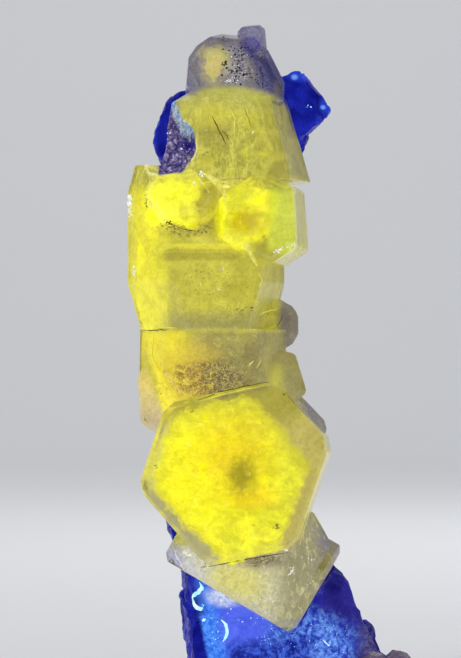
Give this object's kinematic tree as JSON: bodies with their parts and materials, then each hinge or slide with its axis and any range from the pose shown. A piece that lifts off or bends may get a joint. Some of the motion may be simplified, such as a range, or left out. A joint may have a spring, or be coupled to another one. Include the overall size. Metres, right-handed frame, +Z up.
{
  "type": "apatite crystal cluster",
  "caption": "Upright column of intergrown hexagonal apatite crystals, clear with yellow hearts, on a deep blue matrix cut flat at its foot.",
  "frame": {"origin": "on the flat cut underside of the matrix, below the middle of the column", "axes": "+Z up along the column, +X to the right when the large hexagonal plate faces the viewer, -Y towards the viewer"},
  "size_m": [0.0303, 0.0216, 0.0685],
  "materials": {
    "apatite": "polished",
    "matrix": "gloss",
    "pink_crystal": "satin"
  },
  "bodies": {
    "root": {"apatite_crystals": "apatite", "blue_matrix": "matrix", "pink_crystals": "pink_crystal"}
  },
  "joints": []
}
